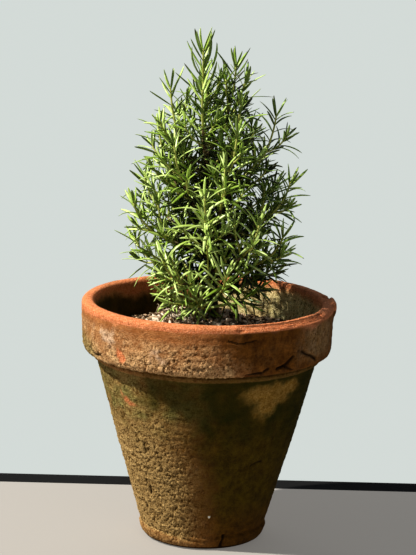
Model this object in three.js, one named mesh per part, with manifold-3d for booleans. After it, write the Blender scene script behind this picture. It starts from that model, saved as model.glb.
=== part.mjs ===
// A young rosemary in an old thrown terracotta pot.
// Millimetres, +Z up, origin at the middle of the pot's flat underside, -Y towards the viewer.
import * as THREE from "three";
import { mergeVertices } from "three/addons/utils/BufferGeometryUtils.js";
import Module from "manifold-3d";

const wasm = await Module();
wasm.setup();

// Driving dimensions of the pot.
const POT_HEIGHT = 202;
const RIM_RADIUS = 105;
const RIM_DEPTH = 42; // height of the thick band round the mouth
const MOUTH_RADIUS = 95;
const SHOULDER_RADIUS = 93; // outside of the wall just under the band
const FOOT_RADIUS = 49;
const FLOOR_THICKNESS = 11;
const FLOOR_RADIUS = 41; // inside, where the wall meets the floor
const DRAIN_RADIUS = 9;
const POT_SIDES = 44;

// The potting mix, a mound round the root ball that falls away to the wall.
const CLEARANCE = 0.3; // between pieces that touch
const MIX_EDGE_HEIGHT = 172;
const MOUND_HEIGHT = 187;
const MOUND_MIDDLE = new THREE.Vector2(-8, 4);
const MOUND_FLAT_RADIUS = 24;
const MOUND_RADIUS = 58;
const MIX_RINGS = 5;
const MIX_SIDES = 24;

// The main stem leans a little to the left.
const STEM_FOOT = new THREE.Vector3(5, 0, MOUND_HEIGHT + CLEARANCE);
const STEM_TIP = new THREE.Vector3(-6, 2, 338);
const STEM_BEND = new THREE.Vector3(2, -1, 270);
const STEM_RADIUS = 3.6;
const STEM_TIP_RADIUS = 1.3;
const FLARE = 0.75; // how much wider the stem is at the ground
const FLARE_HEIGHT = 9;
const LEADER_BEND = new THREE.Vector3(-8.5, 2, 372);
const LEADER_TOP = new THREE.Vector3(-9, 0, 409);

// The side shoots: direction round the pot in degrees, height of the foot on the stem,
// reach from the stem, and height of the growing tip. 0 degrees is +X and 90 degrees is +Y.
const SHOOTS = [
  [20, 322, 24, 396],
  [256, 314, 22, 378],
  [326, 300, 30, 368],
  [100, 310, 26, 384],
  [182, 298, 33, 378],
  [6, 278, 53, 357],
  [300, 284, 42, 346],
  [166, 268, 46, 344],
  [128, 286, 44, 352],
  [62, 280, 46, 346],
  [226, 272, 44, 336],
  [282, 256, 48, 320],
  [350, 248, 64, 304],
  [154, 246, 64, 300],
  [96, 252, 58, 308],
  [263, 238, 58, 298],
  [193, 238, 67, 284],
  [34, 240, 62, 294],
  [306, 226, 62, 276],
  [124, 230, 64, 276],
  [176, 212, 66, 252],
  [336, 220, 62, 262],
  [72, 218, 64, 262],
  [228, 208, 62, 244],
  [12, 206, 58, 240],
  [280, 205, 56, 234],
  [250, 193, 44, 212],
  [120, 200, 58, 236],
];
const BOUGH_SHARE = 0.24; // of a shoot's length, bare wood before the leaves begin
const BOUGH_RADIUS = 1.8;
const BOUGH_TIP_RADIUS = 1.35;
const TWIG_RADIUS = 1.45; // to the corners of its square section
const TWIG_TIP_RADIUS = 1.05;
const TWIG_STEPS = 3;
const SIDE_TWIG_SHARE = 0.62; // of the main twig's length
const SIDE_TWIG_PLACES = [0.1, 0.38]; // where side twigs leave the main one

// Leaves stand in pairs on the faces of the square twigs, each pair square to the last.
const LEAF_LENGTH = 30;
const LEAF_WIDTH = 5;
const LEAF_THICKNESS = 1.4;
const LEAF_BROADEST = 0.42; // share of its length where it is broadest
const LEAF_ROOT_DEPTH = 0.7; // how far its root goes past the middle of the twig
const LEAF_TRIES = [[1, 1], [0.82, 0.9], [0.66, 0.8], [0.52, 0.7]]; // shorter and closer in
const LEAF_FREEDOM = 0.6; // least distance between leaves of one mass, as a share of their width
const PAIR_SPACING = 8.2;
const LEAF_LEAN_LOW = 82; // degrees off the twig at its foot
const LEAF_LEAN_TOP = 36; // degrees off the twig at its tip
const LEAF_ARCH = 0.13; // how far a leaf bows, as a share of its length
const LEAF_SWING = 0.3; // radians that its direction varies by
const SEED = 7;

const UP = new THREE.Vector3(0, 0, 1);

// A repeatable run of numbers from 0 to 1.
function randomRun(seed) {
  let state = seed >>> 0;
  return () => {
    state = (state * 1664525 + 1013904223) % 4294967296;
    return state / 4294967296;
  };
}

// A closed geometry as a solid that can be joined and cut.
function solidOf(geometry) {
  const bare = geometry.clone();
  bare.deleteAttribute("normal");
  bare.deleteAttribute("uv");
  const merged = mergeVertices(bare, 1e-4);
  return new wasm.Manifold(
    new wasm.Mesh({
      numProp: 3,
      vertProperties: merged.attributes.position.array,
      triVerts: new Uint32Array(merged.index.array),
    }),
  );
}

// A solid back as a three.js geometry.
function geometryOf(solid) {
  const mesh = solid.getMesh();
  const geometry = new THREE.BufferGeometry();
  geometry.setAttribute("position", new THREE.BufferAttribute(mesh.vertProperties, 3));
  geometry.setIndex(new THREE.BufferAttribute(mesh.triVerts, 1));
  geometry.computeVertexNormals();
  return geometry;
}

// A tapered cylinder bent along a curve. A function of the share of its length may swell it.
function limb(curve, rootRadius, tipRadius, sides, steps, swell = () => 1) {
  const geometry = new THREE.CylinderGeometry(tipRadius, rootRadius, 1, sides, steps);
  const frames = curve.computeFrenetFrames(steps);
  const position = geometry.attributes.position;
  for (let i = 0; i < position.count; i++) {
    const share = position.getY(i) + 0.5;
    const step = Math.round(share * steps);
    const width = swell(share);
    const point = curve
      .getPointAt(share)
      .addScaledVector(frames.normals[step], position.getX(i) * width)
      .addScaledVector(frames.binormals[step], -position.getZ(i) * width);
    position.setXYZ(i, point.x, point.y, point.z);
  }
  return geometry;
}

// The pot's wall, floor and drain hole, as one profile turned round the axis.
function potGeometry() {
  const bandFoot = POT_HEIGHT - RIM_DEPTH;
  const profile = [
    [DRAIN_RADIUS, 0],
    [FOOT_RADIUS - 1.5, 0],
    [FOOT_RADIUS, 1.5],
    [FOOT_RADIUS + 3, 11],
    [FOOT_RADIUS + 19.3, bandFoot * 0.42],
    [SHOULDER_RADIUS - 9.5, bandFoot * 0.76],
    [SHOULDER_RADIUS - 1.2, bandFoot - 6],
    [SHOULDER_RADIUS + 1.6, bandFoot - 4.5],
    [SHOULDER_RADIUS + 1.8, bandFoot - 1],
    [RIM_RADIUS - 5, bandFoot],
    [RIM_RADIUS - 2, bandFoot + 3],
    [RIM_RADIUS - 1.2, bandFoot + 9],
    [RIM_RADIUS, POT_HEIGHT - 5],
    [RIM_RADIUS - 1.2, POT_HEIGHT - 1.6],
    [RIM_RADIUS - 3.2, POT_HEIGHT],
    [MOUTH_RADIUS + 1.4, POT_HEIGHT],
    [MOUTH_RADIUS, POT_HEIGHT - 2],
    [FLOOR_RADIUS, FLOOR_THICKNESS],
    [DRAIN_RADIUS, FLOOR_THICKNESS],
    [DRAIN_RADIUS, 0],
  ].map(([radius, height]) => new THREE.Vector2(radius, height));
  return new THREE.LatheGeometry(profile, POT_SIDES).rotateX(Math.PI / 2);
}

// Radius of the pot's inner wall at a height.
function wallRadius(height) {
  const top = POT_HEIGHT - 2;
  return THREE.MathUtils.mapLinear(height, FLOOR_THICKNESS, top, FLOOR_RADIUS, MOUTH_RADIUS);
}

// Height of the mix over a point of the pot's plan.
function mixHeight(x, y) {
  const distance = Math.hypot(x - MOUND_MIDDLE.x, y - MOUND_MIDDLE.y);
  const fall = THREE.MathUtils.smoothstep(distance, MOUND_FLAT_RADIUS, MOUND_RADIUS);
  return THREE.MathUtils.lerp(MOUND_HEIGHT, MIX_EDGE_HEIGHT, fall);
}

// The potting mix fills the pot to its wall, with the mound on top.
function mixGeometry() {
  const edge = wallRadius(MIX_EDGE_HEIGHT) - CLEARANCE;
  const floor = FLOOR_THICKNESS + CLEARANCE;
  const profile = [
    [0, floor],
    [wallRadius(floor) - CLEARANCE, floor],
  ];
  for (let ring = MIX_RINGS; ring >= 0; ring--) profile.push([(edge * ring) / MIX_RINGS, MIX_EDGE_HEIGHT]);
  const points = profile.map(([radius, height]) => new THREE.Vector2(radius, height));
  const geometry = new THREE.LatheGeometry(points, MIX_SIDES).rotateX(Math.PI / 2);
  const position = geometry.attributes.position;
  for (let i = 0; i < position.count; i++) {
    if (position.getZ(i) < MIX_EDGE_HEIGHT - 1) continue;
    const x = position.getX(i);
    const y = position.getY(i);
    if (Math.hypot(x, y) < edge - 1) position.setZ(i, mixHeight(x, y));
  }
  return geometry;
}

// The stem's centre line, from the ground to where the leader's leaves begin.
const stemCurve = new THREE.QuadraticBezierCurve3(STEM_FOOT, STEM_BEND, STEM_TIP);

// Width of the stem at a share of its height, over its plain taper.
function stemSwell(share) {
  const height = share * (STEM_TIP.z - STEM_FOOT.z);
  return 1 + FLARE * Math.exp(-height / (FLARE_HEIGHT * 0.4));
}

function stemRadius(height) {
  const share = (height - STEM_FOOT.z) / (STEM_TIP.z - STEM_FOOT.z);
  return THREE.MathUtils.lerp(STEM_RADIUS, STEM_TIP_RADIUS, share) * stemSwell(share);
}

// A point of the stem's centre line at a height.
function stemPoint(height) {
  const share = (height - STEM_FOOT.z) / (STEM_TIP.z - STEM_FOOT.z);
  return stemCurve.getPoint(share);
}

function stemGeometry(extra = 0) {
  const geometry = limb(stemCurve, STEM_RADIUS + extra, STEM_TIP_RADIUS + extra, 8, 14, stemSwell);
  // The cut at the ground is level.
  const position = geometry.attributes.position;
  const firstRing = STEM_FOOT.z + 0.04 * (STEM_TIP.z - STEM_FOOT.z);
  for (let i = 0; i < position.count; i++) if (position.getZ(i) < firstRing) position.setZ(i, STEM_FOOT.z);
  return geometry;
}

// A shoot leaves the stem low and turns up towards its tip.
function shootCurve([direction, foot, reach, top]) {
  const angle = THREE.MathUtils.degToRad(direction);
  const outward = new THREE.Vector3(Math.cos(angle), Math.sin(angle), 0);
  const start = stemPoint(foot);
  const tip = stemPoint(foot).addScaledVector(outward, reach).setZ(top);
  const knee = start
    .clone()
    .addScaledVector(outward, reach * 0.88)
    .setZ(THREE.MathUtils.lerp(foot, top, 0.3));
  return new THREE.QuadraticBezierCurve3(start, knee, tip);
}

// The part of a curve between two shares of its length, as a curve of its own.
function stretch(curve, from, to, count = 5) {
  const points = [];
  for (let i = 0; i <= count; i++) points.push(curve.getPointAt(THREE.MathUtils.lerp(from, to, i / count)));
  return new THREE.CatmullRomCurve3(points);
}

// A side twig leaves a twig at a place on it, swings to one side and turns up.
function sideTwig(twig, place, turn, length) {
  const start = twig.getPointAt(place);
  const along = twig.getTangentAt(place);
  const sideways = new THREE.Vector3().crossVectors(along, UP).normalize().multiplyScalar(Math.sign(turn));
  const heading = along
    .clone()
    .multiplyScalar(Math.cos(turn))
    .addScaledVector(sideways, Math.abs(Math.sin(turn)));
  const knee = start.clone().addScaledVector(heading, length * 0.5);
  const tip = knee
    .clone()
    .addScaledVector(heading, length * 0.32)
    .addScaledVector(UP, length * 0.28);
  return new THREE.QuadraticBezierCurve3(start, knee, tip);
}

// Distance from a point to the nearest of several lines of points.
const segment = new THREE.Line3();
const nearest = new THREE.Vector3();
function distanceTo(point, lines) {
  let least = Infinity;
  for (const line of lines)
    for (let i = 1; i < line.length; i++) {
      segment.set(line[i - 1], line[i]).closestPointToPoint(point, true, nearest);
      least = Math.min(least, nearest.distanceTo(point));
    }
  return least;
}

// True if points keep to a mass's own space: nearer to its own twigs than to any other mass's, and off
// the stem and pot. widths says how wide the leaf or twig is at each point.
function keepsToSpace(points, widths, mass, masses) {
  return points.every((point, i) => {
    const own = distanceTo(point, mass.lines) + widths[i] + 2 * CLEARANCE;
    if (masses.some((other) => other !== mass && distanceTo(point, other.lines) < own)) return false;
    const stemGap = distanceTo(point, [stemLine]) - LEAF_WIDTH / 2 - CLEARANCE;
    if (point.z < STEM_TIP.z + 4 && stemGap < stemRadius(Math.min(point.z, STEM_TIP.z))) return false;
    const out = Math.hypot(point.x, point.y);
    const clearOfPot = point.z > POT_HEIGHT + 4 || out < wallRadius(point.z) - 4;
    return clearOfPot && point.z > mixHeight(point.x, point.y) + 3;
  });
}

const stemLine = stemCurve.getPoints(16);

// Every mass of foliage: its bough's curve, where it has one, and the twigs that carry its leaves.
function planMasses() {
  const leaderFoot = STEM_TIP.clone().addScaledVector(UP, CLEARANCE + 0.1);
  const leader = {
    name: "leader_foliage",
    bough: null,
    twigs: [new THREE.QuadraticBezierCurve3(leaderFoot, LEADER_BEND, LEADER_TOP)],
  };
  const masses = [leader];
  SHOOTS.forEach((shoot, i) => {
    const whole = shootCurve(shoot);
    const number = String(i + 1).padStart(2, "0");
    const gap = CLEARANCE / whole.getLength();
    masses.push({
      name: "foliage_" + number,
      boughName: "bough_" + number,
      bough: stretch(whole, 0, BOUGH_SHARE),
      twigs: [stretch(whole, BOUGH_SHARE + gap, 1)],
    });
  });
  for (const mass of masses) {
    mass.lines = mass.twigs.map((twig) => twig.getPoints(6));
    if (mass.bough) mass.lines.push(mass.bough.getPoints(3).slice(1));
  }
  masses.forEach((mass, i) => {
    const random = randomRun(SEED + i * 31);
    const main = mass.twigs[0];
    SIDE_TWIG_PLACES.forEach((place, k) => {
      const side = (i + k) % 2 ? 1 : -1;
      const turn = side * THREE.MathUtils.degToRad(38 + 16 * random());
      const length = main.getLength() * SIDE_TWIG_SHARE * (0.85 + 0.3 * random());
      const twig = sideTwig(main, place, turn, length);
      const points = twig.getPoints(5);
      const widths = points.map(() => 2 * TWIG_RADIUS);
      if (keepsToSpace(points.slice(2), widths, mass, masses)) mass.twigs.push(twig);
    });
  });
  for (const mass of masses) {
    mass.lines = mass.twigs.map((twig) => twig.getPoints(6));
    if (mass.bough) mass.lines.push(mass.bough.getPoints(3).slice(1));
  }
  return masses;
}

// How far a leaf bows off its straight line at a share of its length.
function leafBow(share, length) {
  return length * LEAF_ARCH * 4 * Math.max(0, share * (1 - share));
}

// One leaf at the origin, running along +Y with its ridge up: a three-sided spindle that bows.
function leafGeometry(length) {
  const geometry = new THREE.SphereGeometry(1, 3, 2).rotateY(Math.PI / 2);
  const position = geometry.attributes.position;
  for (let i = 0; i < position.count; i++) {
    const end = Math.round(position.getY(i));
    const share = end ? Math.max(end, -LEAF_ROOT_DEPTH / length) : LEAF_BROADEST;
    const spread = 1 - Math.abs(end);
    const x = (position.getX(i) * spread * LEAF_WIDTH) / Math.sqrt(3);
    const z = (position.getZ(i) * spread * LEAF_THICKNESS * 2) / 3;
    position.setXYZ(i, x, share * length, z + leafBow(share, length));
  }
  return geometry;
}

// Points along a leaf where its place is tested, and its width there as a share of its full width.
const LEAF_TESTS = [[0.25, 0.6], [0.5, 1], [0.75, 0.5], [1, 0]];
const leafWidths = LEAF_TESTS.map(([, share]) => share * LEAF_WIDTH);

function leafPoints(place, length) {
  const at = ([share]) => new THREE.Vector3(0, share * length, leafBow(share, length)).applyMatrix4(place);
  return LEAF_TESTS.map(at);
}

// Where a leaf stands: its root on the twig, leaning off the twig's line by an angle.
function leafPlace(root, along, outward, tilt) {
  const heading = along.clone().multiplyScalar(Math.cos(tilt)).addScaledVector(outward, Math.sin(tilt));
  const face = along.clone().multiplyScalar(Math.sin(tilt)).addScaledVector(outward, -Math.cos(tilt));
  const across = new THREE.Vector3().crossVectors(heading, face);
  return new THREE.Matrix4().makeBasis(across, heading, face).setPosition(root);
}

// True if a leaf stands free of the leaves already on its mass.
function standsFree(points, others) {
  return others.every((other) =>
    points.every((a, i) => other.every((b, k) => i + k < 2 || a.distanceTo(b) > LEAF_WIDTH * LEAF_FREEDOM)),
  );
}

// The leaves of one twig, in pairs that turn by a quarter each time and stand up towards the tip.
function leavesOn(twig, mass, masses, random) {
  const leaves = [];
  const length = twig.getLength();
  const pairs = Math.max(2, Math.round(length / PAIR_SPACING));
  const frames = twig.computeFrenetFrames(TWIG_STEPS);
  for (let pair = 0; pair <= pairs; pair++) {
    const share = THREE.MathUtils.lerp(0.05, 0.985, pair / pairs);
    const along = twig.getTangentAt(share);
    const point = twig.getPointAt(share);
    const step = Math.round(share * TWIG_STEPS);
    const side = frames.normals[step].clone().add(frames.binormals[step]).normalize();
    const lean = THREE.MathUtils.degToRad(THREE.MathUtils.lerp(LEAF_LEAN_LOW, LEAF_LEAN_TOP, share ** 2));
    for (const half of [0, 1]) {
      const turn = (pair * Math.PI) / 2 + half * Math.PI + LEAF_SWING * (random() - 0.5);
      const outward = side.clone().applyAxisAngle(along, turn);
      const spread = lean + 0.25 * (random() - 0.5);
      const full = LEAF_LENGTH * (1 - 0.35 * share ** 3) * (0.88 + 0.24 * random());
      for (const [shorter, closer] of LEAF_TRIES) {
        const place = leafPlace(point, along, outward, spread * closer);
        const size = full * shorter;
        const points = leafPoints(place, size);
        if (!standsFree(points, mass.leafPoints) || !keepsToSpace(points, leafWidths, mass, masses)) continue;
        mass.leafPoints.push(points);
        leaves.push(leafGeometry(size).applyMatrix4(place));
        break;
      }
    }
  }
  return leaves;
}

// A mass of foliage as one solid: its twigs with their leaves joined on.
function foliageGeometry(mass, index, masses) {
  const random = randomRun(SEED * 101 + index * 977);
  mass.leafPoints = [];
  const pieces = [];
  for (const [k, twig] of mass.twigs.entries()) {
    const root = k ? TWIG_RADIUS * 0.85 : TWIG_RADIUS;
    pieces.push(limb(twig, root, TWIG_TIP_RADIUS, 4, TWIG_STEPS));
    pieces.push(...leavesOn(twig, mass, masses, random));
  }
  const joined = wasm.Manifold.union(pieces.map(solidOf));
  const bodies = joined.decompose().sort((a, b) => b.volume() - a.volume());
  return geometryOf(bodies[0]);
}

// A bough is one tapering limb, cut off clear of the stem that it grows from.
function boughGeometry(mass) {
  const whole = solidOf(limb(mass.bough, BOUGH_RADIUS, BOUGH_TIP_RADIUS, 4, 2));
  const cut = whole.subtract(solidOf(stemGeometry(CLEARANCE)));
  const bodies = cut.decompose().sort((a, b) => b.volume() - a.volume());
  return geometryOf(bodies[0]);
}

const TERRACOTTA = new THREE.MeshStandardMaterial({ color: 0xa9673f, roughness: 0.95 });
const MIX = new THREE.MeshStandardMaterial({ color: 0x8a7658, roughness: 1 });
const BARK = new THREE.MeshStandardMaterial({ color: 0x6f5f45, roughness: 0.9 });
const LEAF = new THREE.MeshStandardMaterial({ color: 0x5c7a2c, roughness: 0.6 });

function node(name, geometry, material) {
  const mesh = new THREE.Mesh(geometry, material);
  mesh.name = name;
  return mesh;
}

const rosemary = new THREE.Group();
rosemary.add(node("pot", potGeometry(), TERRACOTTA));
rosemary.add(node("potting_mix", mixGeometry(), MIX));
rosemary.add(node("main_stem", stemGeometry(), BARK));
const masses = planMasses();
masses.forEach((mass, index) => {
  if (mass.bough) rosemary.add(node(mass.boughName, boughGeometry(mass), BARK));
  rosemary.add(node(mass.name, foliageGeometry(mass, index, masses), LEAF));
});

export default rosemary;
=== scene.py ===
import math

import bmesh
import bpy
import numpy as np
from mathutils import Matrix, Vector, noise


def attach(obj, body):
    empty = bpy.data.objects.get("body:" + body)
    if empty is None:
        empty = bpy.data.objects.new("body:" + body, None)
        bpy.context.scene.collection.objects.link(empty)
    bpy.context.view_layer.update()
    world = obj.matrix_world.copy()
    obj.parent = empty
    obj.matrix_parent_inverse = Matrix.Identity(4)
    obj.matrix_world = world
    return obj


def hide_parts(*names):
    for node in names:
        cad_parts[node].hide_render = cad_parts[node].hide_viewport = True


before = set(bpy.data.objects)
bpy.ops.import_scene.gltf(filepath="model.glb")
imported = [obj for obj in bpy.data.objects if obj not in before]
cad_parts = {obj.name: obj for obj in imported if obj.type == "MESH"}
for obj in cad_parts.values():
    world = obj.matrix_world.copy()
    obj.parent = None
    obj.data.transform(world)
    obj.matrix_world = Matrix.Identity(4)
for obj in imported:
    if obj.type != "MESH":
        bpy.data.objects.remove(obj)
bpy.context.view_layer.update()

MM = 0.001


# The pot: a thrown terracotta pot with a deep thick band round its mouth, old and never cleaned. Salts have
# grown through the wall as a grainy tan crust, algae has settled under the band, and the lip is rubbed back
# to bare orange clay. Two closed skins, the body and the band, turned from their profiles and roughened.
UNDER, BODY, BEAD, BAND, LIP, INSIDE = range(6)
# What the skin keeps: real deposits, and marks that paint shade. These are dark in hollows, cracks and at the
# foot, lighter on raised grains, and dark on the side turned from the lamp.
SKIN_MARKS = ("crust", "algae", "bare", "pale", "film", "damp_and_shade", "painted_shade", "grain_relief_shade")
# Radius and height in mm, then the face size up to the next point and the kind of surface there.
BODY_PROFILE = [
    (9.0, 0.0, 20.0, UNDER),
    (47.4, 0.0, 0.9, BODY),
    (49.4, 1.4, 0.95, BODY),
    (51.6, 4.8, 0.95, BODY),
    (53.0, 9.6, 0.95, BODY),
    (52.4, 11.8, 0.95, BODY),
    (68.5, 67.2, 0.95, BODY),
    (83.7, 121.6, 0.95, BODY),
    (91.4, 152.0, 0.9, BODY),
    (92.8, 153.6, 0.7, BEAD),
    (95.0, 154.8, 0.7, BEAD),
    (95.8, 156.8, 0.7, BEAD),
    (95.0, 158.9, 3.0, UNDER),
    (92.0, 164.0, 60.0, UNDER),
    (84.0, 160.0, 60.0, UNDER),
    (41.0, 11.0, 40.0, UNDER),
    (9.0, 11.0, 12.0, UNDER),
]
BAND_PROFILE = [
    (93.0, 159.6, 1.6, BAND),
    (99.6, 159.4, 0.9, BAND),
    (102.2, 161.0, 0.9, BAND),
    (103.5, 164.5, 0.95, BAND),
    (104.0, 171.0, 0.95, BAND),
    (105.0, 196.8, 0.9, LIP),
    (104.7, 199.6, 0.85, LIP),
    (103.4, 201.4, 0.85, LIP),
    (101.2, 202.1, 0.9, LIP),
    (97.4, 201.9, 0.9, LIP),
    (95.8, 200.9, 0.9, LIP),
    (94.9, 198.6, 1.25, INSIDE),
    (86.6, 168.5, 20.0, UNDER),
    (84.0, 160.0, 20.0, UNDER),
]
BODY_STEPS, BAND_STEPS = 514, 660
# Grooves: points as degrees round the pot and mm of height, then depth and half width in mm.
POT_CRACKS = [
    ([(279.0, 190.4), (281.6, 189.2), (284.8, 188.2), (288.0, 188.9), (291.6, 189.9)], 1.0, 0.6),
    ([(303.0, 164.6), (307.2, 166.3), (309.3, 169.1), (312.0, 173.2)], 2.8, 1.35),
    ([(306.6, 166.6), (309.6, 163.6), (312.8, 161.4)], 1.6, 0.9),
    ([(317.1, 176.2), (321.6, 171.8), (325.0, 169.6), (328.6, 166.2)], 2.4, 1.2),
    ([(288.4, 160.4), (292.3, 161.5), (295.4, 162.0)], 3.0, 1.7),
    ([(296.8, 163.9), (298.7, 165.8)], 2.4, 1.3),
    ([(229.2, 92.7), (229.3, 84.0)], 1.7, 0.8),
    ([(224.2, 58.0), (223.7, 54.8)], 1.6, 0.9),
    ([(226.8, 52.6), (226.2, 46.0)], 2.4, 1.1),
    ([(218.0, 35.0), (216.8, 31.0)], 1.3, 0.8),
    ([(302.6, 75.8), (306.0, 78.4), (310.8, 79.0)], 1.1, 0.8),
    ([(289.6, 12.6), (287.6, 7.0), (287.0, 0.5)], 2.4, 1.0),
    ([(203.0, 168.0), (209.0, 163.8), (214.0, 165.5)], 1.8, 1.2),
    ([(75.0, 176.0), (83.0, 171.0), (94.0, 173.0)], 1.2, 0.9),
    ([(128.0, 66.0), (131.0, 48.0)], 1.0, 0.9),
]
# Spots of a surface: degrees, mm of height, half sizes in degrees and mm.
BAND_CHIPS = [
    (226.9, 171.2, 1.9, 4.0), (228.7, 167.4, 2.3, 3.4), (28.0, 171.0, 2.6, 4.0), (152.0, 176.0, 2.0, 3.4),
]
BODY_CHIPS = [
    (218.4, 132.6, 2.0, 3.2), (221.4, 129.2, 2.4, 3.4), (225.2, 126.2, 3.0, 2.2), (112.0, 140.0, 3.4, 4.0),
]
POT_PALE = [
    (301.0, 141.0, 10.0, 8.5), (311.0, 140.0, 11.0, 9.5), (305.0, 130.0, 7.5, 10.0), (318.0, 143.0, 8.0, 6.5),
    (64.0, 128.0, 12.0, 12.0), (140.0, 96.0, 10.0, 9.0),
]
# A white splash low at the front: degrees, mm of height, radius in mm, and the pale value that marks it.
SPLASH_ANGLE, SPLASH_HEIGHT, SPLASH_RADIUS = 275.2, 31.0, 1.1
SPLASH_MARK = 3.0


def shade(low, high, value):
    share = min(1.0, max(0.0, (value - low) / (high - low)))
    return share * share * (3.0 - 2.0 * share)


def between(value, low, high, edge):
    return shade(low - edge, low + edge, value) * (1.0 - shade(high - edge, high + edge, value))


def cloud(x, y, z, size, seed=0.0):
    """Smooth noise from -1 to 1 that repeats its lumps about every size mm."""
    return noise.noise(Vector((x / size + seed, y / size - seed, z / size + 2.0 * seed)))


def turn_between(a, b):
    return (a - b + 180.0) % 360.0 - 180.0


def arc(angle, middle, low, high, edge):
    """1 from low to high degrees past the middle, and 0 beyond that."""
    return between(turn_between(angle, middle), low, high, edge)


def spot(angle, height, places, ragged, soft=0.3):
    most = 0.0
    for middle, level, wide, tall in places:
        far = math.hypot(turn_between(angle, middle) / wide, (height - level) / tall) + ragged
        most = max(most, 1.0 - shade(0.95 - soft, 0.95 + soft, far))
    return most


def groove(angle, height, radius, line, half_width):
    """How far a point lies in a crack, from 0 to 1."""
    least = 1e9
    for (a0, h0), (a1, h1) in zip(line, line[1:]):
        px, py = math.radians(turn_between(angle, a0)) * radius, height - h0
        qx, qy = math.radians(turn_between(a1, a0)) * radius, h1 - h0
        t = max(0.0, min(1.0, (px * qx + py * qy) / (qx * qx + qy * qy)))
        least = min(least, math.hypot(px - t * qx, py - t * qy))
    return math.exp(-((least / half_width) ** 2))


def finer(profile):
    """The profile with points put in between, so that faces are about the size that each stretch asks for."""
    points = []
    for (r0, h0, size, skin), (r1, h1, _, _) in zip(profile, profile[1:] + profile[:1]):
        count = max(1, round(math.hypot(r1 - r0, h1 - h0) / size))
        points += [(r0 + (r1 - r0) * i / count, h0 + (h1 - h0) * i / count, skin) for i in range(count)]
    return points


def turned(profile, steps, closed):
    """A bmesh turned round the Z axis from points in mm, which remember their kind of surface."""
    bm = bmesh.new()
    kind = bm.verts.layers.float.new("skin")
    ring = []
    for radius, height, skin in profile:
        ring.append(bm.verts.new((radius * MM, 0.0, height * MM)))
        ring[-1][kind] = skin
    pairs = list(zip(ring, ring[1:])) + ([(ring[-1], ring[0])] if closed else [])
    edges = [bm.edges.new(pair) for pair in pairs]
    bmesh.ops.spin(bm, geom=ring + edges, cent=(0, 0, 0), axis=(0, 0, 1), dvec=(0, 0, 0),
                   angle=2 * math.pi, steps=steps, use_merge=True, use_duplicate=False)
    bmesh.ops.remove_doubles(bm, verts=bm.verts, dist=1e-6)
    bmesh.ops.recalc_face_normals(bm, faces=bm.faces)
    return bm


def placed(name, mesh, materials, nodes):
    """Makes the piece, smooth, hangs it on the root body and hides the parts that it stands for."""
    for material in materials:
        mesh.materials.append(material)
    mesh.polygons.foreach_set("use_smooth", [True] * len(mesh.polygons))
    piece = bpy.data.objects.new(name, mesh)
    bpy.context.scene.collection.objects.link(piece)
    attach(piece, "root")
    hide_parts(*nodes)
    return piece


def finished(name, bm, materials, nodes):
    mesh = bpy.data.meshes.new(name)
    bm.to_mesh(mesh)
    bm.free()
    return placed(name, mesh, materials, nodes)


class Finish:
    """A material and the few kinds of node that the finishes here are mixed from."""

    def __init__(self, name, roughness=0.9, specular=0.3):
        self.material = bpy.data.materials.new(name)
        self.material.use_nodes = True
        self.tree = self.material.node_tree
        self.shader = self.tree.nodes["Principled BSDF"]
        self.shader.inputs["Roughness"].default_value = roughness
        self.shader.inputs["Specular IOR Level"].default_value = specular
        self.place = self.node("ShaderNodeTexCoord").outputs["Object"]
        self.height = self.node("ShaderNodeSeparateXYZ", {"Vector": self.place}).outputs["Z"]

    def node(self, kind, inputs=None, **settings):
        node = self.tree.nodes.new(kind)
        for key, value in settings.items():
            setattr(node, key, value)
        for key, value in (inputs or {}).items():
            self.join(value, node.inputs[key])
        return node

    def join(self, value, socket):
        if isinstance(value, bpy.types.NodeSocket):
            self.tree.links.new(value, socket)
        else:
            socket.default_value = value

    def noise(self, size, detail=3.0, roughness=0.55, stretch=(1, 1, 1)):
        """Noise whose lumps come about every size mm."""
        place = self.node("ShaderNodeMapping", {"Vector": self.place, "Scale": stretch}).outputs[0]
        inputs = {"Vector": place, "Scale": 1000.0 / size, "Detail": detail, "Roughness": roughness}
        return self.node("ShaderNodeTexNoise", inputs).outputs["Fac"]

    def stored(self, name):
        return self.node("ShaderNodeAttribute", attribute_name=name).outputs["Fac"]

    def ranged(self, value, low, high, to_low=0.0):
        inputs = {"Value": value, "From Min": low, "From Max": high, "To Min": to_low}
        return self.node("ShaderNodeMapRange", inputs).outputs["Result"]

    def sum(self, a, b, operation="ADD"):
        node = self.node("ShaderNodeMath", operation=operation)
        self.join(a, node.inputs[0])
        self.join(b, node.inputs[1])
        return node.outputs[0]

    def times(self, a, b):
        return self.sum(a, b, "MULTIPLY")

    def mixed(self, share, first, second):
        node = self.node("ShaderNodeMix", data_type="RGBA")
        for value, index in ((share, 0), (first, 6), (second, 7)):
            self.join((*value, 1.0) if isinstance(value, tuple) else value, node.inputs[index])
        return node.outputs[2]

    def mottled(self, value, low, high, dark, light):
        return self.mixed(self.ranged(value, low, high), dark, light)

    def coloured(self, colour):
        self.join(colour, self.shader.inputs["Base Color"])

    def raised(self, height, strength, distance):
        """Fine relief, with its height in mm."""
        inputs = {"Height": height, "Strength": strength, "Distance": distance * MM}
        self.join(self.node("ShaderNodeBump", inputs).outputs[0], self.shader.inputs["Normal"])


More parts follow.
